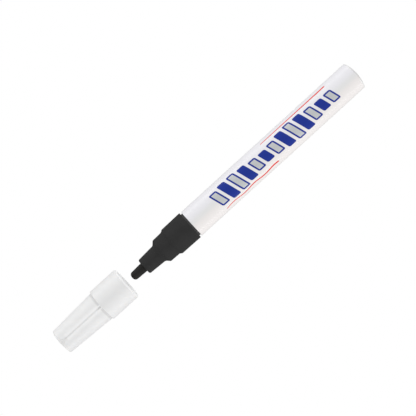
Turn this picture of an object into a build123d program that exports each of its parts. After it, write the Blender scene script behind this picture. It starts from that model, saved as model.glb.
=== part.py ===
from build123d import *
import math
import os

# A valve-action paint marker that lies along X, with its cap pulled off and laid in line before the nib.
# Sizes are in millimetres. Places are worked out on the marker's axis, with x = 0 at the barrel's front rim:
# minus x leads to the nib and the cap, plus x to the barrel's closed end.

# Clearances, each on the radius or on one side
PRESS_CLEARANCE = 0.02
SLIDE_CLEARANCE = 0.05
CAP_CLEARANCE = 0.08

# Barrel: a drawn aluminium tube with a shallow domed end
BARREL_LENGTH = 99.6
BARREL_DIAMETER = 14.0
BARREL_WALL = 0.5
BARREL_DOME_HEIGHT = 1.35
BARREL_CORNER_RADIUS = 0.9
BARREL_INNER_CORNER_RADIUS = 0.3
BARREL_RIM_ROUND = 0.15

# Barrel seal: a rubber ring in a groove of the nose's plug
RING_SECTION = 0.9
RING_GROOVE_WIDTH = 1.7
RING_GROOVE_LAND = 3.3

# Front section: the moulded nose, from the plug in the barrel towards the nib
PLUG_LENGTH = 8.0
PLUG_SETBACK = 0.8
PLUG_LEAD_ROUND = 0.4
NECK_LENGTH = 0.85
NECK_RELIEF = 0.28
COLLAR_LENGTH = 10.85
COLLAR_PROUD = 0.2
COLLAR_DRAFT = 0.15
COLLAR_REAR_ROUND = 0.2
COLLAR_FRONT_ROUND = 0.5
RAMP_LENGTH = 1.1
RAMP_DROP = 0.75
STEP_LENGTH = 5.1
STEP_DRAFT = 0.15
STEP_REAR_ROUND = 0.3
STEP_FRONT_ROUND = 0.6
SHOULDER_LENGTH = 1.65
SHOULDER_ROUND = 1.2
NOZZLE_LENGTH = 9.05
NOZZLE_WALL = 1.22
NOZZLE_DRAFT = 0.5
NOZZLE_FRONT_ROUND = 0.7
NOZZLE_BORE_ROUND = 0.15
PAINT_CHANNEL_DEPTH = 0.4
GUIDE_RIB_COUNT = 6
GUIDE_RIB_WIDTH = 0.8
GUIDE_RIB_SETBACK = 0.7
CHAMBER_FRONT_WALL = 1.0
CHAMBER_ROUND = 0.2

# Nib: a bullet of pressed fibre
NIB_DIAMETER = 4.5
NIB_EXPOSED_LENGTH = 7.1
NIB_PARALLEL_LENGTH = 0.4
NIB_TAPER = 0.28
NIB_TIP_HEIGHT = 0.2
NIB_TIP_FLAT = 0.37
NIB_REAR_ROUND = 0.3
NIB_TRAVEL = 2.0
NIB_REAR_ROOM = 0.8

# Valve seat and seal: a disc with a port on a shoulder in the nose, and a soft ring let into it
SEAT_SETBACK = 1.8
SEAT_THICKNESS = 2.4
SEAT_SHOULDER = 0.45
SEAT_EDGE_ROUND = 0.2
PORT_GAP = 0.5
VALVE_SEAL_MARGIN = 0.3
VALVE_SEAL_THICKNESS = 1.2

# Valve stem: it closes the seal from behind and reaches through the port to the nib
CONE_TIP_DIAMETER = 3.0
CONE_LENGTH = 1.9
STEM_ROD_STEP = 0.1
STEM_WEB = 0.8
STEM_BUTTON_LENGTH = 1.0
STEM_EDGE_ROUND = 0.15
STEM_FLANGE_LIP = 0.25
STEM_FLANGE_LENGTH = 1.2
STEM_FLANGE_GAP = 0.5
STEM_BOSS_LENGTH = 2.5
STEM_BOSS_STEP = 0.45
STEM_PIN_DIAMETER = 2.4
STEM_PIN_REACH = 0.8

# Valve spring: stainless wire
SPRING_WIRE = 0.5
SPRING_BOSS_GAP = 0.25
SPRING_INSET = 0.3
SPRING_TURNS = 7.0

# Valve cage: the cup round the spring, with paint windows behind the plug
CAGE_WALL = 0.7
CAGE_END_WALL = 1.4
CAGE_FLANGE_GAP = 0.5
CAGE_FLANGE_LENGTH = 1.0
CAGE_WINDOW_WIDTH = 2.8
CAGE_WINDOW_LENGTH = 2.8
CAGE_WINDOW_MARGIN = 0.4
CAGE_EDGE_ROUND = 0.2

# Mixing ball
BALL_DIAMETER = 6.35
BALL_END_GAP = 0.3

# Cap: a stepped shell, skirt over the collar and a tapered crown over the nozzle
CAP_REST_GAP = 3.3
CAP_OVERLAP = 1.5
CAP_SKIRT_WALL = 0.77
CAP_SKIRT_ROUND = 0.5
CAP_LIP_WIDTH = 0.2
CAP_LIP_LENGTH = 0.8
CAP_LIP_ROUND = 0.1
CAP_LEDGE_GAP = 0.15
CAP_LEDGE_WALL = 0.9
CAP_STEP_LENGTH = 0.3
CROWN_CLEARANCE = 0.26
CROWN_WALL = 0.85
CROWN_TAPER = 2.9
CROWN_END_WALL = 1.6
CROWN_DOME_HEIGHT = 0.6
CROWN_END_ROUND = 0.7
CROWN_INNER_ROUND = 0.4

# Crown spines: a low gabled ridge with a groove along its crest, on two opposite sides
SPINE_WIDTH = 3.6
SPINE_HEIGHT = 0.55
SPINE_GROOVE_WIDTH = 0.6
SPINE_GROOVE_DEPTH = 0.35
SPINE_LIP_ROUND = 0.1
SPINE_RUNOUT = 2.6
SPINE_END_SETBACK = 1.2

# Cap liner: a soft inner cup that closes over the nozzle
LINER_CLEARANCE = 0.12
LINER_WALL = 0.6
LINER_END_WALL = 0.6
LINER_MOUTH_GAP = 0.75
LINER_NOZZLE_GAP = 0.3
LINER_NIB_ROOM = 1.05
LINER_TIP_GAP = 0.45
LINER_FLANGE_LENGTH = 1.2
LINER_LEAD_ROUND = 0.3

# Radii of barrel and nose
barrel_radius = BARREL_DIAMETER / 2
barrel_bore_radius = barrel_radius - BARREL_WALL
plug_radius = barrel_bore_radius - PRESS_CLEARANCE
ring_groove_radius = barrel_bore_radius - RING_SECTION
neck_radius = plug_radius - NECK_RELIEF
collar_radius = barrel_radius + COLLAR_PROUD
collar_front_radius = collar_radius - COLLAR_DRAFT
step_radius = collar_front_radius - RAMP_DROP
step_front_radius = step_radius - STEP_DRAFT
nib_radius = NIB_DIAMETER / 2
nib_point_radius = nib_radius - NIB_TAPER
guide_radius = nib_radius + SLIDE_CLEARANCE
channel_radius = guide_radius + PAINT_CHANNEL_DEPTH
nozzle_front_radius = channel_radius + NOZZLE_WALL
nozzle_rear_radius = nozzle_front_radius + NOZZLE_DRAFT

# Radii of the valve, from the stem's pin outwards to the nose's socket
stem_pin_radius = STEM_PIN_DIAMETER / 2
stem_boss_radius = stem_pin_radius + STEM_BOSS_STEP
spring_mean_radius = stem_boss_radius + SPRING_BOSS_GAP + SPRING_WIRE / 2
stem_flange_radius = spring_mean_radius + SPRING_WIRE / 2 + SPRING_INSET
cone_rear_radius = stem_flange_radius - STEM_FLANGE_LIP
cone_tip_radius = CONE_TIP_DIAMETER / 2
stem_rod_radius = cone_tip_radius - STEM_ROD_STEP
port_radius = cone_tip_radius + PORT_GAP
cage_bore_radius = stem_flange_radius + STEM_FLANGE_GAP
cage_radius = cage_bore_radius + CAGE_WALL
valve_seal_radius = cage_bore_radius + VALVE_SEAL_MARGIN
socket_radius = cage_radius + PRESS_CLEARANCE
chamber_radius = socket_radius - SEAT_SHOULDER

# Radii of ball and cap
ball_radius = BALL_DIAMETER / 2
cap_bore_radius = collar_radius + CAP_CLEARANCE
skirt_radius = cap_bore_radius + CAP_SKIRT_WALL
crown_base_bore_radius = step_radius + CROWN_CLEARANCE
liner_chamber_radius = nib_radius + LINER_NIB_ROOM

# Stations of the nose along the axis
ring_groove_rear = PLUG_LENGTH - RING_GROOVE_LAND
ring_groove_front = ring_groove_rear - RING_GROOVE_WIDTH
collar_rear = -NECK_LENGTH
collar_front = collar_rear - COLLAR_LENGTH
step_rear = collar_front - RAMP_LENGTH
step_front = step_rear - STEP_LENGTH
nozzle_rear = step_front - SHOULDER_LENGTH
nozzle_front = nozzle_rear - NOZZLE_LENGTH
nib_tip = nozzle_front - NIB_EXPOSED_LENGTH
chamber_front = step_front + CHAMBER_FRONT_WALL

# Stations of the valve, from the seat in the nose to the cage's end
seat_rear = -SEAT_SETBACK
seat_front = seat_rear - SEAT_THICKNESS
seal_front = seat_rear - VALVE_SEAL_THICKNESS
nib_rear = seat_front - NIB_REAR_ROOM - NIB_TRAVEL
cone_rear = seal_front + CONE_LENGTH
stem_flange_rear = cone_rear + STEM_FLANGE_LENGTH
cage_flange_rear = PLUG_LENGTH + CAGE_FLANGE_LENGTH
window_front = cage_flange_rear + CAGE_WINDOW_MARGIN
window_rear = window_front + CAGE_WINDOW_LENGTH
spring_rear = window_rear + CAGE_WINDOW_MARGIN
cage_rear = spring_rear + CAGE_END_WALL
stem_pin_rear = spring_rear + STEM_PIN_REACH

# Stations of the cap, at rest off the nose
cap_mouth = nib_tip - CAP_REST_GAP
cap_travel = CAP_OVERLAP - cap_mouth
ledge_start = collar_front - cap_travel - CAP_LEDGE_GAP
ledge_end = ledge_start - RAMP_LENGTH
skirt_end = ledge_end - CAP_LEDGE_WALL
liner_mouth = nozzle_rear - cap_travel - LINER_MOUTH_GAP
liner_socket_end = nozzle_front - cap_travel - LINER_NOZZLE_GAP
liner_inner_end = nib_tip - cap_travel - LINER_TIP_GAP
crown_inner_end = liner_inner_end - LINER_END_WALL
crown_end = crown_inner_end - CROWN_END_WALL

# The middle of the whole length is at X = 0, and the cap's skirt lies on Z = 0
PLACE = Pos(-(BARREL_LENGTH + crown_end) / 2, 0, skirt_radius)


def cone_radius(x):
    """Radius of the stem's sealing cone at a station."""
    return cone_tip_radius + (cone_rear_radius - cone_tip_radius) * (x - seal_front) / CONE_LENGTH


def nozzle_radius(x):
    """Radius of the tapered nozzle at a station."""
    return nozzle_front_radius + NOZZLE_DRAFT * (x - nozzle_front) / NOZZLE_LENGTH


def crown_bore_radius(x):
    """Radius of the cap crown's tapered bore at a station."""
    return crown_base_bore_radius - (ledge_end - x) * math.tan(math.radians(CROWN_TAPER))


def crown_radius(x):
    """Radius of the cap crown's tapered outside at a station."""
    return crown_bore_radius(x) + CROWN_WALL


def dome(edge, apex):
    """Arc from a point at a radius to a point on the axis, which it meets squarely."""
    height = apex[0] - edge[0]
    sphere = (edge[1] ** 2 + height**2) / (2 * height)
    half_angle = math.asin(edge[1] / sphere) / 2
    middle = (apex[0] - sphere * (1 - math.cos(half_angle)), sphere * math.sin(half_angle))
    return ThreePointArc(edge, middle, apex)


def side(start, end):
    """One side of a turned outline: a dome where a slanted side meets the axis, else a line."""
    slanted = start[0] != end[0] and start[1] != end[1]
    if slanted and end[1] == 0:
        return dome(start, end)
    if slanted and start[1] == 0:
        return dome(end, start)
    return Line(start, end)


def turned(*corners):
    """Solid turned about X from a closed outline of (x, radius, rounding) corners."""
    points = [(x, radius) for x, radius, _ in corners]
    outline = make_face([side(a, b) for a, b in zip(points, points[1:] + points[:1])])
    for x, radius, rounding in corners:
        if rounding:
            corner = outline.vertices().sort_by_distance((x, radius, 0))[0]
            outline = fillet(corner, rounding)
    return revolve(outline, Axis.X)


def along_x(section, start, end):
    """Solid of a cross-section drawn about the axis, from one station to another."""
    return extrude(Plane.YZ.offset(start) * section, end - start)


def barrel():
    """Tube with an even wall, open at the rim and closed by a dome."""
    outer_sphere = (barrel_radius**2 + BARREL_DOME_HEIGHT**2) / (2 * BARREL_DOME_HEIGHT)
    inner_sphere = outer_sphere - BARREL_WALL
    inner_height = inner_sphere - math.sqrt(inner_sphere**2 - barrel_bore_radius**2)
    inner_apex = BARREL_LENGTH - BARREL_WALL
    return turned(
        (0, barrel_bore_radius, 0),
        (0, barrel_radius, BARREL_RIM_ROUND),
        (BARREL_LENGTH - BARREL_DOME_HEIGHT, barrel_radius, BARREL_CORNER_RADIUS),
        (BARREL_LENGTH, 0, 0),
        (inner_apex, 0, 0),
        (inner_apex - inner_height, barrel_bore_radius, BARREL_INNER_CORNER_RADIUS),
    )


def front_section():
    """Nose: plug and ring groove, neck, collar, step, shoulder and nozzle, open through for valve and nib."""
    shell = turned(
        (PLUG_LENGTH, socket_radius, 0),
        (PLUG_LENGTH, plug_radius, PLUG_LEAD_ROUND),
        (ring_groove_rear, plug_radius, 0),
        (ring_groove_rear, ring_groove_radius, 0),
        (ring_groove_front, ring_groove_radius, 0),
        (ring_groove_front, plug_radius, 0),
        (PLUG_SETBACK, plug_radius, 0),
        (PLUG_SETBACK, neck_radius, 0),
        (collar_rear, neck_radius, 0),
        (collar_rear, collar_radius, COLLAR_REAR_ROUND),
        (collar_front, collar_front_radius, COLLAR_FRONT_ROUND),
        (step_rear, step_radius, STEP_REAR_ROUND),
        (step_front, step_front_radius, STEP_FRONT_ROUND),
        (nozzle_rear, nozzle_rear_radius, SHOULDER_ROUND),
        (nozzle_front, nozzle_front_radius, NOZZLE_FRONT_ROUND),
        (nozzle_front, channel_radius, NOZZLE_BORE_ROUND),
        (chamber_front, channel_radius, 0),
        (chamber_front, chamber_radius, CHAMBER_ROUND),
        (seat_front, chamber_radius, 0),
        (seat_front, socket_radius, 0),
    )
    rib_height = 2 * PAINT_CHANNEL_DEPTH
    section = Pos(guide_radius + rib_height / 2, 0) * Rectangle(rib_height, GUIDE_RIB_WIDTH)
    rib = along_x(section, nozzle_front + GUIDE_RIB_SETBACK, chamber_front)
    return shell + [Rot(X=360 * i / GUIDE_RIB_COUNT) * rib for i in range(GUIDE_RIB_COUNT)]


def barrel_seal():
    """Rubber ring between the plug's groove and the barrel."""
    middle = (ring_groove_front + ring_groove_rear) / 2
    ring = Torus(barrel_bore_radius - RING_SECTION / 2, RING_SECTION / 2 - PRESS_CLEARANCE)
    return Pos(middle, 0, 0) * Rot(Y=90) * ring


def nib():
    """Fibre bullet: a parallel shank, a slight taper outside the nozzle and a blunt round tip."""
    return turned(
        (nib_rear, 0, 0),
        (nib_rear, nib_radius, NIB_REAR_ROUND),
        (nozzle_front - NIB_PARALLEL_LENGTH, nib_radius, 0),
        (nib_tip + NIB_TIP_HEIGHT, nib_point_radius, nib_point_radius - NIB_TIP_FLAT),
        (nib_tip, 0, 0),
    )


def valve_seat():
    """Disc with the paint port, held on the socket's shoulder by the cage."""
    return turned(
        (seat_front, port_radius, SEAT_EDGE_ROUND),
        (seat_front, cage_radius, SEAT_EDGE_ROUND),
        (seat_rear, cage_radius, 0),
        (seat_rear, valve_seal_radius, 0),
        (seal_front, valve_seal_radius, 0),
        (seal_front, port_radius, 0),
    )


def valve_seal():
    """Soft ring in the seat, coned to match the stem and clamped by the cage's edge."""
    outer_radius = valve_seal_radius - PRESS_CLEARANCE
    return turned(
        (seal_front, cone_radius(seal_front) + SLIDE_CLEARANCE, 0),
        (seal_front, outer_radius, 0),
        (seat_rear, outer_radius, 0),
        (seat_rear, cone_radius(seat_rear) + SLIDE_CLEARANCE, 0),
    )


def valve_stem():
    """Stem: button behind the nib, cross-ribbed rod, sealing cone, spring flange, boss and guide pin."""
    button_front = nib_rear + SLIDE_CLEARANCE
    button_rear = button_front + STEM_BUTTON_LENGTH
    boss_rear = stem_flange_rear + STEM_BOSS_LENGTH
    button = turned(
        (button_front, 0, 0),
        (button_front, stem_rod_radius, STEM_EDGE_ROUND),
        (button_rear, stem_rod_radius, STEM_EDGE_ROUND),
        (button_rear, 0, 0),
    )
    arm = Rectangle(2 * stem_rod_radius, STEM_WEB)
    cross = (arm + Rot(Z=90) * arm) & Circle(stem_rod_radius)
    rod = along_x(cross, button_rear - STEM_EDGE_ROUND, cone_rear)
    plug = turned(
        (seal_front, 0, 0),
        (seal_front, cone_tip_radius, 0),
        (cone_rear, cone_rear_radius, 0),
        (cone_rear, stem_flange_radius, STEM_EDGE_ROUND),
        (stem_flange_rear, stem_flange_radius, STEM_EDGE_ROUND),
        (stem_flange_rear, stem_boss_radius, 0),
        (boss_rear, stem_boss_radius, STEM_EDGE_ROUND),
        (boss_rear, stem_pin_radius, 0),
        (stem_pin_rear, stem_pin_radius, STEM_EDGE_ROUND),
        (stem_pin_rear, 0, 0),
    )
    return button + rod + plug


def spring_point(turn):
    """Point of the spring's centre line after so many turns, between the stem's flange and the cage."""
    first = stem_flange_rear + SPRING_WIRE / 2 + SLIDE_CLEARANCE
    last = spring_rear - SPRING_WIRE / 2 - SLIDE_CLEARANCE
    angle = 2 * math.pi * turn
    x = first + (last - first) * turn / SPRING_TURNS
    return Vector(x, spring_mean_radius * math.cos(angle), spring_mean_radius * math.sin(angle))


def spring_direction(turn):
    """Unit tangent of the spring's centre line after so many turns."""
    rise = (spring_point(SPRING_TURNS).X - spring_point(0).X) / SPRING_TURNS
    around = 2 * math.pi * spring_mean_radius
    angle = 2 * math.pi * turn
    return Vector(rise, -around * math.sin(angle), around * math.cos(angle)).normalized()


def biarc(start, end):
    """Two arcs that follow the spring's centre line from one turn count to another, smooth where they meet."""
    a, b = spring_point(start), spring_point(end)
    leave, arrive = spring_direction(start), spring_direction(end)
    chord = b - a
    bend = 2 * (1 - leave.dot(arrive))
    reach = chord.dot(leave + arrive)
    handle = (math.sqrt(reach**2 + bend * chord.dot(chord)) - reach) / bend
    first, second = a + leave * handle, b - arrive * handle
    middle = (first + second) / 2
    return [TangentArc(a, middle, tangent=leave), TangentArc(middle, b, tangent=second - first)]


def valve_spring():
    """Coil spring, one round wire swept along quarter turns."""
    quarters = round(SPRING_TURNS * 4)
    stops = [SPRING_TURNS * i / quarters for i in range(quarters + 1)]
    path = Wire([arc for start, end in zip(stops, stops[1:]) for arc in biarc(start, end)])
    section = Plane(spring_point(0), z_dir=spring_direction(0)) * Circle(SPRING_WIRE / 2)
    return sweep(section, path)


def print_spring_gap():
    """Measure the least gap between neighbouring turns of the spring on points, and print it."""
    steps = 48
    points = [spring_point(i / steps) for i in range(round(SPRING_TURNS * steps) + 1)]
    apart = [
        (points[i] - points[j]).length
        for i in range(len(points))
        for j in range(i + steps // 2, len(points))
    ]
    print(f"valve_spring: least gap between turns {min(apart) - SPRING_WIRE:.2f} mm")


def valve_cage():
    """Cup that holds seat, seal and spring: a flange on the plug's end, windows and a guide hole behind."""
    guide_hole_radius = stem_pin_radius + SLIDE_CLEARANCE
    flange_radius = barrel_bore_radius - CAGE_FLANGE_GAP
    cup = turned(
        (seat_rear, cage_bore_radius, 0),
        (seat_rear, cage_radius, CAGE_EDGE_ROUND),
        (PLUG_LENGTH, cage_radius, 0),
        (PLUG_LENGTH, flange_radius, CAGE_EDGE_ROUND),
        (cage_flange_rear, flange_radius, CAGE_EDGE_ROUND),
        (cage_flange_rear, cage_radius, 0),
        (cage_rear, cage_radius, CAGE_EDGE_ROUND),
        (cage_rear, guide_hole_radius, CAGE_EDGE_ROUND),
        (spring_rear, guide_hole_radius, 0),
        (spring_rear, cage_bore_radius, 0),
    )
    window = along_x(Rectangle(2 * socket_radius, CAGE_WINDOW_WIDTH), window_front, window_rear)
    return cup - window - Rot(X=90) * window


def mixing_ball():
    """Loose steel ball, at rest on the barrel's floor by the closed end."""
    x = BARREL_LENGTH - BARREL_WALL - BARREL_DOME_HEIGHT - BALL_END_GAP - ball_radius
    z = ball_radius + SLIDE_CLEARANCE - barrel_bore_radius
    return Pos(x, 0, z) * Sphere(ball_radius)


def crown_spine():
    """Ridge on the crown's upper side: it starts in the step, follows the taper and runs out before the end."""
    start = skirt_end + CAP_STEP_LENGTH
    end = crown_end + SPINE_END_SETBACK
    foot = SPINE_WIDTH / 2
    lip = SPINE_GROOVE_WIDTH / 2
    root = crown_radius(start) - CROWN_WALL / 2
    crest = crown_radius(start) + SPINE_HEIGHT
    half = [
        (lip, crest - SPINE_GROOVE_DEPTH),
        (lip, crest),
        (foot, math.sqrt(crown_radius(start) ** 2 - foot**2)),
        (foot, root),
    ]
    section = make_face(Polyline(*half, *[(-y, z) for y, z in reversed(half)], close=True))
    section = fillet(section.vertices().sort_by(Axis.Y)[-2:], SPINE_LIP_ROUND)
    taper = Vector(end - start, 0, crown_radius(end) - crown_radius(start))
    ridge = extrude(Plane.YZ.offset(start) * section, taper.length, dir=taper.normalized())
    runout_start = end + SPINE_RUNOUT
    profile = Polyline(
        (start, root),
        (start, crest),
        (runout_start, crown_radius(runout_start) + SPINE_HEIGHT),
        (end, math.sqrt(crown_radius(end) ** 2 - foot**2)),
        (end, crown_radius(end) - CROWN_WALL / 2),
        close=True,
    )
    return ridge & extrude(Plane.XZ * make_face(profile), SPINE_WIDTH / 2, both=True)


def cap():
    """Cap shell: skirt with a tapered lip, step, tapered crown, domed end, and a spine on two sides."""
    crown_edge = crown_end + CROWN_DOME_HEIGHT
    shell = turned(
        (cap_mouth, cap_bore_radius, CAP_LIP_ROUND),
        (cap_mouth, cap_bore_radius + CAP_LIP_WIDTH, CAP_LIP_ROUND),
        (cap_mouth - CAP_LIP_LENGTH, skirt_radius, CAP_LIP_LENGTH),
        (skirt_end + CAP_STEP_LENGTH, skirt_radius, CAP_SKIRT_ROUND),
        (skirt_end, crown_radius(skirt_end), 0),
        (crown_edge, crown_radius(crown_edge), CROWN_END_ROUND),
        (crown_end, 0, 0),
        (crown_inner_end, 0, 0),
        (crown_inner_end, crown_bore_radius(crown_inner_end), CROWN_INNER_ROUND),
        (ledge_end, crown_base_bore_radius, 0),
        (ledge_start, cap_bore_radius, 0),
    )
    spine = crown_spine()
    return shell + spine + Rot(X=180) * spine


def cap_liner():
    """Inner cup of the cap: a flange in the crown's bore, a socket for the nozzle and a chamber for the nib."""
    mouth_radius = nozzle_radius(liner_mouth + cap_travel) + LINER_CLEARANCE
    socket_end_radius = nozzle_radius(liner_socket_end + cap_travel) + LINER_CLEARANCE
    flange_rear = liner_mouth - LINER_FLANGE_LENGTH
    socket_outer_end = liner_socket_end - LINER_WALL
    return turned(
        (liner_mouth, mouth_radius, LINER_LEAD_ROUND),
        (liner_mouth, crown_bore_radius(liner_mouth) - PRESS_CLEARANCE, 0),
        (flange_rear, crown_bore_radius(flange_rear) - PRESS_CLEARANCE, 0),
        (flange_rear, nozzle_radius(flange_rear + cap_travel) + LINER_CLEARANCE + LINER_WALL, 0),
        (socket_outer_end, socket_end_radius + LINER_WALL, LINER_LEAD_ROUND),
        (socket_outer_end, liner_chamber_radius + LINER_WALL, 0),
        (crown_inner_end, liner_chamber_radius + LINER_WALL, LINER_LEAD_ROUND),
        (crown_inner_end, 0, 0),
        (liner_inner_end, 0, 0),
        (liner_inner_end, liner_chamber_radius, LINER_LEAD_ROUND),
        (liner_socket_end, liner_chamber_radius, 0),
        (liner_socket_end, socket_end_radius, 0),
    )


NODES = [
    barrel,
    barrel_seal,
    front_section,
    nib,
    valve_seat,
    valve_seal,
    valve_stem,
    valve_spring,
    valve_cage,
    mixing_ball,
    cap,
    cap_liner,
]


def main():
    """Make each piece in place and write it to its own file."""
    os.makedirs("parts", exist_ok=True)
    print_spring_gap()
    for make in NODES:
        export_step(PLACE * make(), f"parts/{make.__name__}.step")


main()
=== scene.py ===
"""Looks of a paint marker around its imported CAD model: finishes, barrel print, valve coil and studio."""

import logging
import math
from dataclasses import dataclass
from enum import Enum
from typing import Union

import bpy
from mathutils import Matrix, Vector

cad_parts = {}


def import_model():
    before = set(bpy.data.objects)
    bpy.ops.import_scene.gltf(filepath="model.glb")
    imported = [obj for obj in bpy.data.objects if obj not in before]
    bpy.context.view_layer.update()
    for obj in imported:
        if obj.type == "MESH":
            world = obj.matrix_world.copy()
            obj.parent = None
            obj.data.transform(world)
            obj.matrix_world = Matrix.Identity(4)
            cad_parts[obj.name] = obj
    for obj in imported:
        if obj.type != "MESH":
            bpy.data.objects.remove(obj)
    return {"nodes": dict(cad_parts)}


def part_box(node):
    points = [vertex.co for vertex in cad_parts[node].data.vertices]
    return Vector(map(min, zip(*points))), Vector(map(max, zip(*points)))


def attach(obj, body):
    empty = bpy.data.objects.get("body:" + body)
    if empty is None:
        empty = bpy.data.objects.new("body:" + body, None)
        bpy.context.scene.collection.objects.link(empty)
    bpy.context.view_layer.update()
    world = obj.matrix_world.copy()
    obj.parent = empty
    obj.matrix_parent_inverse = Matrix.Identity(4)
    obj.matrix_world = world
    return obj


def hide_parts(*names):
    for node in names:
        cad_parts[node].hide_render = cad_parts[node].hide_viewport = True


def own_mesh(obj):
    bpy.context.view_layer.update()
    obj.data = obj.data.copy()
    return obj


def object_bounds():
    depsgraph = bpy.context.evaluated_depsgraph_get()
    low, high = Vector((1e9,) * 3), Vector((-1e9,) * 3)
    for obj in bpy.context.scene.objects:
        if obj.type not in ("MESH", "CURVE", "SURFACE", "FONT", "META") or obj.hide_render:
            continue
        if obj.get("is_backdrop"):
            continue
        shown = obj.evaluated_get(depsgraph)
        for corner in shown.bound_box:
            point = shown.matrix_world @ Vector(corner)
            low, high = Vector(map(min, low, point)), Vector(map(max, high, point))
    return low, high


LOG = logging.getLogger("paint_marker")
MM = 0.001

Socket = bpy.types.NodeSocket
Colour = tuple[float, float, float]
Operand = Union["Value", float]

BLACK: Colour = (0.0, 0.0, 0.0)
WHITE: Colour = (1.0, 1.0, 1.0)


def linear(red: int, green: int, blue: int) -> Colour:
    """Turn a display colour of 0 to 255 into the light values that a shader takes.

    Args:
        red: Red of the display colour.
        green: Green of the display colour.
        blue: Blue of the display colour.

    Returns:
        The same colour as linear red, green and blue from 0 to 1.
    """
    shares = (channel / 255 for channel in (red, green, blue))
    return tuple(s / 12.92 if s <= 0.04045 else ((s + 0.055) / 1.055) ** 2.4 for s in shares)


def grey(level: float) -> Colour:
    """Give a neutral colour of one level in all channels."""
    return (level, level, level)


def opaque(colour: Colour) -> tuple[float, float, float, float]:
    """Add full alpha to a colour."""
    return (*colour, 1.0)


def scaled(colour: Colour, factor: float) -> Colour:
    """Make a colour lighter or darker by one factor."""
    return tuple(min(channel * factor, 1.0) for channel in colour)


def feed(entry: Socket, operand: Operand) -> None:
    """Link a changing number to a node's input, or set a plain one on it.

    Args:
        entry: Input socket that takes the number.
        operand: The number.
    """
    if isinstance(operand, Value):
        entry.id_data.links.new(operand.socket, entry)
    else:
        entry.default_value = operand


class Value:
    """A number that changes over a surface: a node's output that takes part in sums like a plain number."""

    def __init__(self, socket: Socket) -> None:
        """Keep the output that gives the number."""
        self.socket = socket

    def calculate(self, operation: str, *others: Operand) -> "Value":
        """Feed this number and others to a Math node.

        Args:
            operation: Name of the Math node's operation.
            others: Further numbers that the operation takes.

        Returns:
            The result.
        """
        node = self.socket.id_data.nodes.new("ShaderNodeMath")
        node.operation = operation
        for entry, operand in zip(node.inputs, (self, *others)):
            feed(entry, operand)
        return Value(node.outputs[0])

    def __add__(self, other: Operand) -> "Value":
        """Sum of two numbers."""
        return self.calculate("ADD", other)

    def __sub__(self, other: Operand) -> "Value":
        """Difference of two numbers."""
        return self.calculate("SUBTRACT", other)

    def __mul__(self, other: Operand) -> "Value":
        """Product of two numbers."""
        return self.calculate("MULTIPLY", other)

    def __truediv__(self, other: Operand) -> "Value":
        """Quotient of two numbers."""
        return self.calculate("DIVIDE", other)

    def __neg__(self) -> "Value":
        """The number with the other sign."""
        return self * -1.0

    def __abs__(self) -> "Value":
        """Size of the number without its sign."""
        return self.calculate("ABSOLUTE")

    def at_least(self, other: Operand) -> "Value":
        """The larger of two numbers."""
        return self.calculate("MAXIMUM", other)

    def at_most(self, other: Operand) -> "Value":
        """The smaller of two numbers."""
        return self.calculate("MINIMUM", other)

    def length_with(self, other: "Value") -> "Value":
        """Length of the straight line that has these two numbers as its sides."""
        return (self * self + other * other).calculate("SQRT")

    def fade(self, start: float, end: float) -> "Value":
        """Ease from 0 at one value of the number to 1 at another, and stay there.

        Args:
            start: Value that gives 0.
            end: Value that gives 1, above or below start.

        Returns:
            A share from 0 to 1.
        """
        node = self.socket.id_data.nodes.new("ShaderNodeMapRange")
        node.interpolation_type = "SMOOTHSTEP"
        feed(node.inputs["Value"], self)
        node.inputs["From Min"].default_value = start
        node.inputs["From Max"].default_value = end
        return Value(node.outputs["Result"])

    def spread(self, low: float, high: float) -> "Value":
        """Spread a share from 0 to 1 over a range of values."""
        return self * (high - low) + low


def noise(point: Socket, scale: Operand, detail: float) -> Value:
    """Read fractal noise at a point.

    Args:
        point: Output that gives the point.
        scale: Spots to a unit of length.
        detail: How many finer layers the noise has.

    Returns:
        A share from 0 to 1.
    """
    tree = point.id_data
    node = tree.nodes.new("ShaderNodeTexNoise")
    tree.links.new(point, node.inputs["Vector"])
    feed(node.inputs["Scale"], scale)
    node.inputs["Detail"].default_value = detail
    return Value(node.outputs["Fac"])


def stretch(point: Socket, x: float, y: float, z: float) -> Socket:
    """Scale a point's coordinates, so that a pattern read there is drawn out.

    Args:
        point: Output that gives the point.
        x: Factor of the first coordinate.
        y: Factor of the second coordinate.
        z: Factor of the third coordinate.

    Returns:
        The output that gives the scaled point.
    """
    tree = point.id_data
    node = tree.nodes.new("ShaderNodeMapping")
    node.inputs["Scale"].default_value = (x, y, z)
    tree.links.new(point, node.inputs["Vector"])
    return node.outputs["Vector"]


def coordinates(point: Socket) -> tuple[Value, Value, Value]:
    """Split a point into its three coordinates.

    Args:
        point: Output that gives the point.

    Returns:
        The point's x, y and z.
    """
    tree = point.id_data
    node = tree.nodes.new("ShaderNodeSeparateXYZ")
    tree.links.new(point, node.inputs[0])
    return tuple(Value(outlet) for outlet in node.outputs)


def mixed(share: Value, first: Union[Socket, Colour], second: Colour) -> Socket:
    """Mix two colours.

    Args:
        share: Share of the second colour.
        first: Colour where the share is 0, or the output that gives it.
        second: Colour where the share is 1.

    Returns:
        The output that gives the mixed colour.
    """
    tree = share.socket.id_data
    node = tree.nodes.new("ShaderNodeMix")
    node.data_type = "RGBA"
    feed(node.inputs["Factor"], share)
    entries = [entry for entry in node.inputs if entry.type == "RGBA"]
    if isinstance(first, Socket):
        tree.links.new(first, entries[0])
    else:
        entries[0].default_value = opaque(first)
    entries[1].default_value = opaque(second)
    return next(outlet for outlet in node.outputs if outlet.type == "RGBA")


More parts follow.
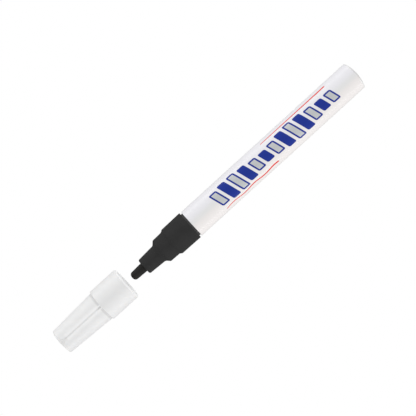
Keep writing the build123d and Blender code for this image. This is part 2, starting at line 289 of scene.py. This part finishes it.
class Effect(Enum):
    """Effects that several finishes share, each a shader node group made once."""

    GRAIN = "surface_grain"
    RUBS = "rub_marks"

    def group(self) -> bpy.types.NodeTree:
        """Give the effect's node group, made the first time it is asked for.

        Returns:
            The group, which takes a point and a scale.
        """
        made = bpy.data.node_groups.get(self.value)
        if made:
            return made
        tree = bpy.data.node_groups.new(self.value, "ShaderNodeTree")
        tree.interface.new_socket("Point", in_out="INPUT", socket_type="NodeSocketVector")
        tree.interface.new_socket("Scale", in_out="INPUT", socket_type="NodeSocketFloat")
        entry = tree.nodes.new("NodeGroupInput")
        leave = tree.nodes.new("NodeGroupOutput")
        point, scale = entry.outputs["Point"], Value(entry.outputs["Scale"])
        results = self.grain(point, scale) if self is Effect.GRAIN else self.rubs(point, scale)
        for name, value in results.items():
            tree.interface.new_socket(name, in_out="OUTPUT", socket_type="NodeSocketFloat")
            feed(leave.inputs[name], value)
        return tree

    @staticmethod
    def grain(point: Socket, scale: Value) -> dict[str, Value]:
        """Fine height of a moulded, sprayed or ground surface, and a slow change of its tone.

        Args:
            point: Place on the surface.
            scale: Grains to a metre.

        Returns:
            The group's outputs by name.
        """
        tones_to_a_grain = 0.03
        height = noise(point, scale, detail=3.0)
        tone = noise(point, scale * tones_to_a_grain, detail=2.0)
        return {"Height": height, "Tone": tone}

    @staticmethod
    def rubs(point: Socket, scale: Value) -> dict[str, Value]:
        """Short hairline marks in scattered patches.

        Args:
            point: Place on the surface.
            scale: Marks to a metre.

        Returns:
            The group's outputs by name.
        """
        slants_to_a_mark = 0.8
        patches_to_a_mark = 0.05
        lengthwise = noise(stretch(point, x=0.06, y=1.0, z=1.0), scale, detail=1.0)
        slantwise = noise(stretch(point, x=1.0, y=0.08, z=0.35), scale * slants_to_a_mark, detail=1.0)
        patches = noise(point, scale * patches_to_a_mark, detail=2.0)
        marks = lengthwise.fade(start=0.66, end=0.7).at_least(slantwise.fade(start=0.67, end=0.71))
        return {"Marks": marks * patches.fade(start=0.5, end=0.68)}

    def place(self, point: Socket, size: float) -> dict[str, Value]:
        """Place the effect in a material.

        Args:
            point: Place on the surface, in the material.
            size: Size of one grain or mark, in millimetres.

        Returns:
            The effect's outputs by name.
        """
        tree = point.id_data
        node = tree.nodes.new("ShaderNodeGroup")
        node.node_tree = self.group()
        tree.links.new(point, node.inputs["Point"])
        node.inputs["Scale"].default_value = 1 / (size * MM)
        return {outlet.name: Value(outlet) for outlet in node.outputs}


@dataclass(frozen=True)
class Surface:
    """A material in the making: its shader, and the bump that shapes it."""

    shader: bpy.types.ShaderNode
    bump: bpy.types.ShaderNode

    def point(self) -> Socket:
        """Give the place on the piece, in the marker's own coordinates."""
        return self.shader.id_data.nodes.new("ShaderNodeTexCoord").outputs["Object"]

    def paint(self, share: Value, colour: Colour) -> None:
        """Lay a colour over the surface where the share says."""
        base = self.shader.inputs["Base Color"]
        base.id_data.links.new(mixed(share, base.links[0].from_socket, colour), base)

    def light(self, share: Value, glow: Colour) -> None:
        """Let the surface glow where the share says."""
        self.shader.id_data.links.new(mixed(share, BLACK, glow), self.shader.inputs["Emission Color"])
        self.shader.inputs["Emission Strength"].default_value = 1.0

    def roughen(self, change: Value) -> None:
        """Add to the roughness."""
        roughness = self.shader.inputs["Roughness"]
        feed(roughness, Value(roughness.links[0].from_socket) + change)

    def lift(self, change: Value) -> None:
        """Add to the height that the bump reads."""
        height = self.bump.inputs["Height"]
        feed(height, Value(height.links[0].from_socket) + change)


@dataclass(frozen=True)
class Finish:
    """A surface finish with its own colour, gloss, tone and grain.

    Sizes are in millimetres, and what is read from the model is in metres.
    """

    name: str
    colour: Colour
    roughness: float
    grain_size: float
    grain_depth: float
    tone_swing: float = 0.04
    gloss_swing: float = 0.08
    specular: float = 0.5
    metallic: float = 0.0

    def material(self) -> bpy.types.Material:
        """Make the finish's material.

        Returns:
            The material, with its colour, roughness and bump read from the surface.
        """
        material = bpy.data.materials.new(self.name)
        material.use_nodes = True
        tree = material.node_tree
        shader = tree.nodes["Principled BSDF"]
        shader.inputs["Metallic"].default_value = self.metallic
        shader.inputs["Specular IOR Level"].default_value = self.specular
        bump = tree.nodes.new("ShaderNodeBump")
        surface = Surface(shader, bump)
        grain = Effect.GRAIN.place(self.pattern_point(surface.point()), self.grain_size)
        tone = grain["Tone"].fade(start=0.3, end=0.7)
        darker = scaled(self.colour, 1 - self.tone_swing)
        lighter = scaled(self.colour, 1 + self.tone_swing)
        tree.links.new(mixed(tone, darker, lighter), shader.inputs["Base Color"])
        glossier = self.roughness - self.gloss_swing / 2
        duller = self.roughness + self.gloss_swing / 2
        feed(shader.inputs["Roughness"], tone.spread(glossier, duller))
        feed(bump.inputs["Height"], grain["Height"])
        bump.inputs["Distance"].default_value = self.grain_depth * MM
        tree.links.new(bump.outputs["Normal"], shader.inputs["Normal"])
        self.enrich(surface)
        return material

    def pattern_point(self, point: Socket) -> Socket:
        """Give the point where the grain is read, which here is the place itself."""
        return point

    def enrich(self, surface: Surface) -> None:
        """Add what only this finish has, which for a plain one is nothing."""


@dataclass(frozen=True)
class Stroke:
    """A printed line that may swell and wave.

    Sizes are in millimetres: along is counted from the barrel's rim, and around on its surface from its
    top line.
    """

    start: float
    end: float
    around: float
    start_width: float
    end_width: float
    wave_height: float = 0.0
    wave_length: float = 12.0
    soft_edge: float = 0.05

    def ink(self, along: Value, around: Value) -> Value:
        """Draw the line.

        Args:
            along: Distance from the rim.
            around: Distance on the surface from the top line.

        Returns:
            Where its ink lies.
        """
        share = (along - self.start) / (self.end - self.start)
        half_width = share.spread(self.start_width / 2, self.end_width / 2)
        wave = (along * (2 * math.pi / self.wave_length)).calculate("SINE") * self.wave_height
        beyond = abs(around - wave - self.around) - half_width
        length = along.fade(self.start, self.start + self.start_width)
        length = length * along.fade(self.end, self.end - self.end_width)
        return beyond.fade(self.soft_edge, -self.soft_edge) * length


@dataclass(frozen=True)
class BarPrint:
    """A printed row of slanted bars, by turns outlined and solid, with thin lines beside it.

    Sizes are in millimetres, and counted as a stroke's are.
    """

    first_bar: float = 16.8
    bar_count: int = 13
    bar_pitch: float = 5.6
    bar_width: float = 4.2
    bar_round: float = 0.8
    bar_slant: float = 0.3
    bar_height: float = 8.0
    height_swing: float = 2.2
    swing_bars: float = 6.5
    outline: float = 0.8
    soft_edge: float = 0.05
    red_strokes: tuple[Stroke, ...] = (
        Stroke(start=46.0, end=85.0, around=-6.3, start_width=0.4, end_width=0.8),
        Stroke(start=16.0, end=48.0, around=6.3, start_width=0.4, end_width=0.9, wave_height=0.35),
    )
    blue_strokes: tuple[Stroke, ...] = (
        Stroke(start=16.0, end=86.0, around=-20.0, start_width=0.5, end_width=0.5),
        Stroke(start=16.0, end=86.0, around=20.0, start_width=0.5, end_width=0.5),
    )

    def bars(self, along: Value, around: Value) -> tuple[Value, Value]:
        """Draw the row of bars.

        Args:
            along: Distance from the rim.
            around: Distance on the surface from the top line.

        Returns:
            Where the blue ink lies, and where the silver ink lies.
        """
        reach = along - around * self.bar_slant - (self.first_bar - self.bar_pitch / 2)
        number = (reach / self.bar_pitch).calculate("FLOOR")
        across = reach - (number + 0.5) * self.bar_pitch
        wave = (number * (2 * math.pi / self.swing_bars)).calculate("SINE")
        half_height = wave.spread(self.bar_height / 2, (self.bar_height + self.height_swing) / 2)
        beyond_side = abs(across) - (self.bar_width / 2 - self.bar_round)
        beyond_end = abs(around) - half_height + self.bar_round
        corner = beyond_side.at_least(0.0).length_with(beyond_end.at_least(0.0))
        distance = corner + beyond_side.at_least(beyond_end).at_most(0.0) - self.bar_round
        in_row = number.calculate("GREATER_THAN", -0.5)
        in_row = in_row * number.calculate("LESS_THAN", self.bar_count - 0.5)
        bar = distance.fade(self.soft_edge, -self.soft_edge) * in_row
        core = (distance + self.outline).fade(self.soft_edge, -self.soft_edge)
        even = (number / 2.0).calculate("FRACT").calculate("LESS_THAN", 0.25)
        silver = bar * core * even
        return bar - silver, silver

    @staticmethod
    def lines(strokes: tuple[Stroke, ...], along: Value, around: Value) -> Value:
        """Draw several lines in one ink.

        Args:
            strokes: The lines, one or more.
            along: Distance from the rim.
            around: Distance on the surface from the top line.

        Returns:
            Where their ink lies.
        """
        ink = strokes[0].ink(along, around)
        for stroke in strokes[1:]:
            ink = ink.at_least(stroke.ink(along, around))
        return ink

    def inks(self, along: Value, around: Value) -> tuple[Value, Value, Value]:
        """Draw the whole print.

        Args:
            along: Distance from the rim.
            around: Distance on the surface from the top line.

        Returns:
            Where the blue, the silver and the red ink lie.
        """
        blue, silver = self.bars(along, around)
        blue = blue.at_least(self.lines(self.blue_strokes, along, around))
        return blue, silver, self.lines(self.red_strokes, along, around)


@dataclass(frozen=True)
class Lacquer(Finish):
    """White lacquer on an aluminium tube, printed in three inks, with bare metal at the cut rim.

    The white carries painted light: a cooler tint on one side of the top line and a warmer one on the
    other, both fading out at the flanks, and painted highlights on the warmer flank and on the sides of the
    rounded end.
    """

    rim: float = 0.0
    end: float = 0.0
    radius: float = 0.0
    axis_height: float = 0.0
    print_design: BarPrint = BarPrint()
    blue: Colour = (0.0006, 0.0222, 0.279)
    silver: Colour = linear(200, 203, 204)
    silver_metallic: float = 0.35
    red: Colour = linear(228, 44, 32)
    cool_painted_light: Colour = (0.846, 0.84, 0.874)
    warm_painted_light: Colour = (0.872, 0.84, 0.828)
    flank_painted_highlight: Colour = (0.914, 0.88, 0.868)
    flank_start: float = 5.2
    flank_full: float = 7.0
    tint_full: float = 2.2
    tint_fade: float = 8.0
    tint_gone: float = 12.0
    end_painted_highlight: Colour = grey(0.95)
    end_reach: float = 1.85
    end_full: float = 1.4
    end_side_start: float = 2.0
    end_side_full: float = 4.5
    bare_metal: Colour = linear(214, 215, 218)
    bare_rim_width: float = 0.12
    ink_depth: float = 0.01
    ink_roughness: float = 0.1
    rub_size: float = 0.25
    rub_roughness: float = 0.12

    def enrich(self, surface: Surface) -> None:
        """Paint the lacquer's tinted light and its highlights, lay the print on it, and bare the rim.

        Args:
            surface: The material in the making.
        """
        point = surface.point()
        x, y, z = coordinates(point)
        along = (x - self.rim) / MM
        around = (-y).calculate("ARCTAN2", z - self.axis_height) * (self.radius / MM)
        # painted light: the white is tinted cooler on one side of the top line and warmer on the other,
        # fading out at the flanks
        tinted = abs(around).fade(self.tint_gone, self.tint_fade)
        surface.paint(around.fade(0.0, -self.tint_full) * tinted, self.cool_painted_light)
        surface.paint(around.fade(0.0, self.tint_full) * tinted, self.warm_painted_light)
        # painted highlight: the warmer flank is painted paler
        surface.paint(around.fade(self.flank_start, self.flank_full) * tinted, self.flank_painted_highlight)
        # painted highlight: the sides of the rounded end are painted paler
        end = ((-x + self.end) / MM).fade(self.end_reach, self.end_full)
        end = end * abs(around).fade(self.end_side_start, self.end_side_full)
        surface.paint(end, self.end_painted_highlight)
        blue, silver, red = self.print_design.inks(along, around)
        surface.paint(red, self.red)
        surface.paint(silver, self.silver)
        surface.paint(blue, self.blue)
        bare = along.fade(self.bare_rim_width, self.bare_rim_width / 2)
        surface.paint(bare, self.bare_metal)
        feed(surface.shader.inputs["Metallic"], (silver * self.silver_metallic).at_least(bare))
        ink = blue.at_least(silver).at_least(red)
        rubs = Effect.RUBS.place(point, self.rub_size)["Marks"]
        surface.roughen(ink * self.ink_roughness + rubs * self.rub_roughness)
        tree = surface.shader.id_data
        relief = tree.nodes.new("ShaderNodeBump")
        relief.inputs["Distance"].default_value = self.ink_depth * MM
        feed(relief.inputs["Height"], ink)
        tree.links.new(surface.bump.outputs["Normal"], relief.inputs["Normal"])
        tree.links.new(relief.outputs["Normal"], surface.shader.inputs["Normal"])


@dataclass(frozen=True)
class Moulding(Finish):
    """Moulded plastic with a fine parting line along its sides and glossy hairline rubs."""

    axis_height: float = 0.0
    seam_width: float = 0.06
    seam_height_in_grains: float = 2.0
    rub_size: float = 0.3
    rub_roughness: float = -0.1

    def enrich(self, surface: Surface) -> None:
        """Add the parting line to the relief, and rubs to the gloss.

        Args:
            surface: The material in the making.
        """
        point = surface.point()
        height = coordinates(point)[2] - self.axis_height
        seam = abs(height).fade(self.seam_width * MM, 0.0)
        surface.lift(seam * self.seam_height_in_grains)
        surface.roughen(Effect.RUBS.place(point, self.rub_size)["Marks"] * self.rub_roughness)


@dataclass(frozen=True)
class NoseMoulding(Moulding):
    """Black moulding of the nose, with painted light on the neck between its collar and the barrel that
    lifts its shade.
    """

    rim: float = 0.0
    neck_length: float = 0.85
    neck_edge: float = 0.1
    neck_painted_light: Colour = grey(0.105)

    def enrich(self, surface: Surface) -> None:
        """Paint light on the neck, on top of what any moulding has.

        Args:
            surface: The material in the making.
        """
        super().enrich(surface)
        before_rim = (-coordinates(surface.point())[0] + self.rim) / MM
        # painted light: the neck's recess is painted paler to lift its shade
        neck = before_rim.fade(self.neck_length + self.neck_edge, self.neck_length - self.neck_edge)
        surface.paint(neck, self.neck_painted_light)


@dataclass(frozen=True)
class MilkyMoulding(Moulding):
    """Milky moulded plastic that lets a little light in."""

    depth_weight: float = 0.35
    depth: float = 1.2
    depth_by_colour: Colour = (1.0, 0.95, 0.9)

    def enrich(self, surface: Surface) -> None:
        """Add the light that scatters inside, on top of what any moulding has.

        Args:
            surface: The material in the making.
        """
        super().enrich(surface)
        surface.shader.inputs["Subsurface Weight"].default_value = self.depth_weight
        surface.shader.inputs["Subsurface Radius"].default_value = self.depth_by_colour
        surface.shader.inputs["Subsurface Scale"].default_value = self.depth * MM


@dataclass(frozen=True)
class CapShell(MilkyMoulding):
    """Milky shell of the cap, with painted light on its lip and ridges and painted shade at its step and
    grooves.

    Its bore glows with the light that comes through the wall. Inward is counted from the mouth, and across
    from the middle of a ridge.
    """

    mouth: float = 0.0
    lip_middle: float = 0.3
    lip_core: float = 0.3
    lip_reach: float = 0.6
    lip_painted_light: Colour = WHITE
    bore_radius: float = 7.28
    bore_edge: float = 0.15
    bore_glow: Colour = grey(0.108)
    step_middle: float = 15.7
    step_reach: float = 0.8
    painted_shade_colour: Colour = grey(0.7)
    ridge_half_width: float = 1.3
    ridge_reach: float = 2.8
    ridge_end: float = 36.2
    ridge_end_fade: float = 1.0
    ridge_painted_light: Colour = grey(0.905)
    groove_reach: float = 0.8
    groove_shade_end: float = 18.0

    def enrich(self, surface: Surface) -> None:
        """Paint light on lip and ridges and shade at the step and grooves, and light the bore, on top of
        what any milky moulding has.

        Args:
            surface: The material in the making.
        """
        super().enrich(surface)
        x, y, z = coordinates(surface.point())
        inward = (-x + self.mouth) / MM
        across = abs(y / MM)
        radius = y.length_with(z - self.axis_height) / MM
        on_skirt = inward.fade(self.step_middle, self.step_middle - self.step_reach)
        on_crown = inward.fade(self.step_middle - self.step_reach, self.step_middle)
        lip = abs(inward - self.lip_middle).fade(self.lip_reach, self.lip_core)
        ridge = across.fade(self.ridge_reach, 0.0) * on_crown
        ridge = ridge * inward.fade(self.ridge_end, self.ridge_end - self.ridge_end_fade)
        # painted shade: the corner of the step and the groove near the step are painted darker
        corner = abs(inward - self.step_middle).fade(self.step_reach, 0.0)
        corner = corner * across.fade(self.ridge_half_width / 2, self.ridge_half_width)
        groove = across.fade(self.groove_reach, 0.0) * on_crown
        groove = groove * inward.fade(self.groove_shade_end, self.step_middle)
        # painted light: the thin lip and the ridges are painted paler
        surface.paint(lip, self.lip_painted_light)
        surface.paint(ridge, self.ridge_painted_light)
        # painted shade in the step's corner and in the groove by the step
        surface.paint(corner.at_least(groove), self.painted_shade_colour)
        bore = radius.fade(self.bore_radius + self.bore_edge, self.bore_radius)
        surface.light(bore * on_skirt, self.bore_glow)


@dataclass(frozen=True)
class PressedFibre(Finish):
    """Fibres pressed side by side along the marker, soaked with paint."""

    fibre_draw: float = 0.05

    def pattern_point(self, point: Socket) -> Socket:
        """Draw the grain out along the marker, so that it reads as fibres."""
        return stretch(point, x=self.fibre_draw, y=1.0, z=1.0)


@dataclass(frozen=True)
class Steel(Finish):
    """Steel with hairlines from drawing or polishing."""

    metallic: float = 1.0
    rub_size: float = 0.2
    rub_roughness: float = 0.25

    def enrich(self, surface: Surface) -> None:
        """Add hairlines to the gloss."""
        surface.roughen(Effect.RUBS.place(surface.point(), self.rub_size)["Marks"] * self.rub_roughness)


@dataclass
class SubAssembly:
    """Pieces of the marker that belong together, dressed in their finishes."""

    nodes: dict[str, bpy.types.Object]

    def finishes(self) -> dict[str, Finish]:
        """Give the finish of each CAD node in the sub-assembly."""
        return {}

    def build(self) -> list[bpy.types.Object]:
        """Model the pieces that the CAD model lacks, which for most sub-assemblies are none."""
        return []

    def dress(self) -> None:
        """Give each CAD node its finish, and report it."""
        for node, finish in self.finishes().items():
            self.nodes[node].data.materials.clear()
            self.nodes[node].data.materials.append(finish.material())
            LOG.info("dressed %s in %s", node, finish.name)


@dataclass
class Barrel(SubAssembly):
    """Printed tube, the ring that seals the nose in it, and the ball that stirs the paint."""

    def finishes(self) -> dict[str, Finish]:
        """Give the finish of each CAD node in the sub-assembly.

        Returns:
            The finishes by node.
        """
        low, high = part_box("barrel")
        lacquer = Lacquer(
            "white_lacquer",
            colour=grey(0.85),
            roughness=0.32,
            grain_size=0.5,
            grain_depth=0.002,
            tone_swing=0.01,
            specular=0.3,
            rim=low.x,
            end=high.x,
            radius=(high.y - low.y) / 2,
            axis_height=(low.z + high.z) / 2,
        )
        rubber = Finish(
            "seal_rubber",
            colour=linear(38, 38, 38),
            roughness=0.75,
            grain_size=0.08,
            grain_depth=0.004,
            specular=0.35,
        )
        steel = Steel(
            "ball_steel",
            colour=linear(190, 192, 196),
            roughness=0.12,
            grain_size=0.3,
            grain_depth=0.0005,
        )
        return {"barrel": lacquer, "barrel_seal": rubber, "mixing_ball": steel}


@dataclass
class Nose(SubAssembly):
    """Black moulded nose and the fibre nib in it."""

    def finishes(self) -> dict[str, Finish]:
        """Give the finish of each CAD node in the sub-assembly.

        Returns:
            The finishes by node.
        """
        low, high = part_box("front_section")
        black = NoseMoulding(
            "black_plastic",
            colour=grey(0.034),
            roughness=0.85,
            grain_size=0.12,
            grain_depth=0.004,
            tone_swing=0.05,
            specular=0.06,
            axis_height=(low.z + high.z) / 2,
            rim=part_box("barrel")[0].x,
        )
        fibre = PressedFibre(
            "nib_fibre",
            colour=(0.0225, 0.0215, 0.0205),
            roughness=0.85,
            grain_size=0.09,
            grain_depth=0.02,
            tone_swing=0.3,
            specular=0.1,
        )
        return {"front_section": black, "nib": fibre}


@dataclass
class Valve(SubAssembly):
    """Spring valve behind the nib. Its coil is modelled here, in the place of the CAD spring."""

    wire: float = 0.5 * MM
    turns: int = 7
    wire_sides: int = 14
    steps_per_turn: int = 40
    smooth_angle_deg: float = 40.0
    stroke: float = 2.0 * MM

    def finishes(self) -> dict[str, Finish]:
        """Give the finish of each CAD node in the sub-assembly.

        Returns:
            The finishes by node.
        """
        low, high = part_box("valve_cage")
        plastic = Moulding(
            "valve_plastic",
            colour=linear(238, 238, 232),
            roughness=0.42,
            grain_size=0.15,
            grain_depth=0.003,
            axis_height=(low.z + high.z) / 2,
        )
        rubber = Finish(
            "valve_seal_rubber",
            colour=linear(46, 45, 44),
            roughness=0.7,
            grain_size=0.06,
            grain_depth=0.003,
            specular=0.35,
        )
        return {"valve_seat": plastic, "valve_cage": plastic, "valve_stem": plastic, "valve_seal": rubber}

    def build(self) -> list[bpy.types.Object]:
        """Model the coil in the place of the CAD spring.

        Returns:
            The coil.
        """
        low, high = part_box("valve_spring")
        axis = (low + high) / 2
        coil = self.wind(low, high, axis)
        steel = Steel(
            "spring_steel",
            colour=linear(176, 178, 182),
            roughness=0.24,
            grain_size=0.12,
            grain_depth=0.001,
        )
        coil.data.materials.append(steel.material())
        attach(coil, "barrel")
        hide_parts("valve_spring")
        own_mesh(coil)
        return [coil]

    def wind(self, low: Vector, high: Vector, axis: Vector) -> bpy.types.Object:
        """Wind the wire's round section into a coil with closed ends.

        Args:
            low: Lowest corner of the room that the coil fills.
            high: Highest corner of that room.
            axis: Middle of that room, on the coil's axis.

        Returns:
            The coil, with its place in its mesh.
        """
        first, last = low.x + self.wire / 2, high.x - self.wire / 2
        mean_radius = (high.z - low.z) / 2 - self.wire / 2
        bpy.ops.object.select_all(action="DESELECT")
        bpy.ops.mesh.primitive_circle_add(
            vertices=self.wire_sides, radius=self.wire / 2, location=(first, axis.y, axis.z)
        )
        coil = bpy.context.active_object
        coil.name = "spring_coil"
        bpy.ops.object.mode_set(mode="EDIT")
        bpy.ops.mesh.select_all(action="SELECT")
        bpy.ops.transform.translate(value=(0, mean_radius, 0))
        bpy.ops.object.mode_set(mode="OBJECT")
        winding = coil.modifiers.new("winding", "SCREW")
        winding.axis = "X"
        winding.screw_offset = (last - first) / self.turns
        winding.iterations = self.turns
        winding.steps = self.steps_per_turn
        winding.render_steps = self.steps_per_turn
        winding.use_smooth_shade = True
        bpy.ops.object.modifier_apply(modifier=winding.name)
        bpy.ops.object.mode_set(mode="EDIT")
        bpy.ops.mesh.select_all(action="SELECT")
        bpy.ops.mesh.fill_holes(sides=0)
        bpy.ops.mesh.select_all(action="SELECT")
        bpy.ops.mesh.normals_make_consistent(inside=False)
        bpy.ops.object.mode_set(mode="OBJECT")
        bpy.ops.object.transform_apply(location=True, rotation=True, scale=True)
        bpy.ops.object.shade_smooth_by_angle(angle=math.radians(self.smooth_angle_deg))
        return coil


@dataclass
class Cap(SubAssembly):
    """Milky cap shell and the liner inside it."""

    def finishes(self) -> dict[str, Finish]:
        """Give the finish of each CAD node in the sub-assembly.

        Returns:
            The finishes by node.
        """
        low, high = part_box("cap")
        axis_height = (low.z + high.z) / 2
        shell = CapShell(
            "cap_plastic",
            colour=grey(0.826),
            roughness=0.4,
            grain_size=0.3,
            grain_depth=0.003,
            tone_swing=0.012,
            specular=0.4,
            axis_height=axis_height,
            mouth=high.x,
        )
        liner = MilkyMoulding(
            "liner_plastic",
            colour=(0.78, 0.78, 0.76),
            roughness=0.45,
            grain_size=0.2,
            grain_depth=0.003,
            axis_height=axis_height,
        )
        return {"cap": shell, "cap_liner": liner}


@dataclass(frozen=True)
class Softbox:
    """A long soft light beside the marker. Lengths are in metres, and lean is counted from straight up."""

    name: str
    lean_deg: float
    power: float = 4.1
    distance: float = 0.9
    length: float = 2.0
    width: float = 0.16

    def build(self, target: Vector) -> bpy.types.Object:
        """Set the light up so that it faces a point.

        Args:
            target: The point that it faces.

        Returns:
            The light.
        """
        lean = math.radians(self.lean_deg)
        way = Vector((0, math.sin(lean), math.cos(lean)))
        bpy.ops.object.light_add(type="AREA", location=target + way * self.distance)
        lamp = bpy.context.active_object
        lamp.name = self.name
        lamp.rotation_euler = way.to_track_quat("Z", "Y").to_euler()
        lamp.data.shape = "RECTANGLE"
        lamp.data.size = self.length
        lamp.data.size_y = self.width
        lamp.data.energy = self.power
        return lamp


@dataclass(frozen=True)
class Studio:
    """Plain pale floor, soft lights, and a camera straight above that is turned as the photograph is.

    Lengths are in metres, and the camera's sensor is in millimetres.
    """

    image_pixels: int = 416
    millimetres_per_pixel: float = 0.4459
    turn_deg: float = 42.33
    middle_from_rim: float = 10.19 * MM
    middle_across: float = 0.26 * MM
    camera_height: float = 0.8
    sensor: float = 36.0
    floor_size: float = 8.0
    floor_gap: float = 0.05 * MM
    floor_colour: Colour = grey(0.3)
    floor_glow: float = 0.22
    floor_white: float = 1.0
    sky_strength: float = 0.83
    sky_ends: float = 0.85
    sky_ends_start: float = 0.35
    sky_ends_full: float = 0.95
    softboxes: tuple[Softbox, ...] = (
        Softbox("softbox_left", lean_deg=86.0),
        Softbox("softbox_right", lean_deg=-86.0),
    )

    def build(self) -> None:
        """Set up floor, sky, lights and camera."""
        low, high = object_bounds()
        middle = (low + high) / 2
        self.lay_floor(low.z - self.floor_gap)
        self.light_sky()
        for softbox in self.softboxes:
            LOG.info("set up %s", softbox.build(middle).name)
        self.aim_camera(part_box("barrel")[0].x, middle.z)
        bpy.context.scene.view_settings.view_transform = "Standard"

    def lay_floor(self, height: float) -> None:
        """Lay the floor, which looks plain white and gives the marker a dimmer, soft light from below.

        Args:
            height: Height of its surface.
        """
        bpy.ops.object.select_all(action="DESELECT")
        bpy.ops.mesh.primitive_plane_add(size=self.floor_size, location=(0, 0, height))
        floor = bpy.context.active_object
        floor.name = "floor"
        material = bpy.data.materials.new("pale_floor")
        material.use_nodes = True
        tree = material.node_tree
        shader = tree.nodes["Principled BSDF"]
        shader.inputs["Roughness"].default_value = 1.0
        shader.inputs["Specular IOR Level"].default_value = 0.0
        shader.inputs["Emission Color"].default_value = opaque(WHITE)
        seen = Value(tree.nodes.new("ShaderNodeLightPath").outputs["Is Camera Ray"])
        tree.links.new(mixed(seen, self.floor_colour, BLACK), shader.inputs["Base Color"])
        feed(shader.inputs["Emission Strength"], seen.spread(self.floor_glow, self.floor_white))
        floor.data.materials.append(material)
        floor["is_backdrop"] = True
        LOG.info("laid the floor")

    def light_sky(self) -> None:
        """Light the scene from all round, a little more from the marker's two ends."""
        world = bpy.data.worlds.new("studio")
        world.use_nodes = True
        tree = world.node_tree
        background = tree.nodes["Background"]
        background.inputs["Color"].default_value = opaque(WHITE)
        way = tree.nodes.new("ShaderNodeTexCoord").outputs["Generated"]
        endwise = abs(coordinates(way)[0]).fade(self.sky_ends_start, self.sky_ends_full)
        feed(background.inputs["Strength"], endwise.spread(self.sky_strength, self.sky_ends))
        bpy.context.scene.world = world

    def aim_camera(self, rim: float, axis_height: float) -> None:
        """Hang the camera above the marker with a long lens.

        Args:
            rim: Place of the barrel's rim along the marker.
            axis_height: Height of the marker's axis, which the scale holds for.
        """
        place = (rim + self.middle_from_rim, self.middle_across, axis_height + self.camera_height)
        bpy.ops.object.camera_add(location=place, rotation=(0, 0, -math.radians(self.turn_deg)))
        camera = bpy.context.active_object
        camera.name = "camera"
        view_width = self.image_pixels * self.millimetres_per_pixel * MM
        camera.data.sensor_width = self.sensor
        camera.data.lens = self.sensor * self.camera_height / view_width
        camera.data.clip_end = 2 * self.camera_height
        bpy.context.scene.camera = camera


def main() -> None:
    """Load the marker, dress each sub-assembly, model what it lacks and set up the studio."""
    logging.basicConfig(level=logging.INFO, format="%(name)s: %(message)s")
    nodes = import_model()["nodes"]
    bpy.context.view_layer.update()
    for part in (Barrel(nodes), Nose(nodes), Valve(nodes), Cap(nodes)):
        part.dress()
        for piece in part.build():
            LOG.info("modelled %s", piece.name)
    Studio().build()


if __name__ == "__main__":
    main()
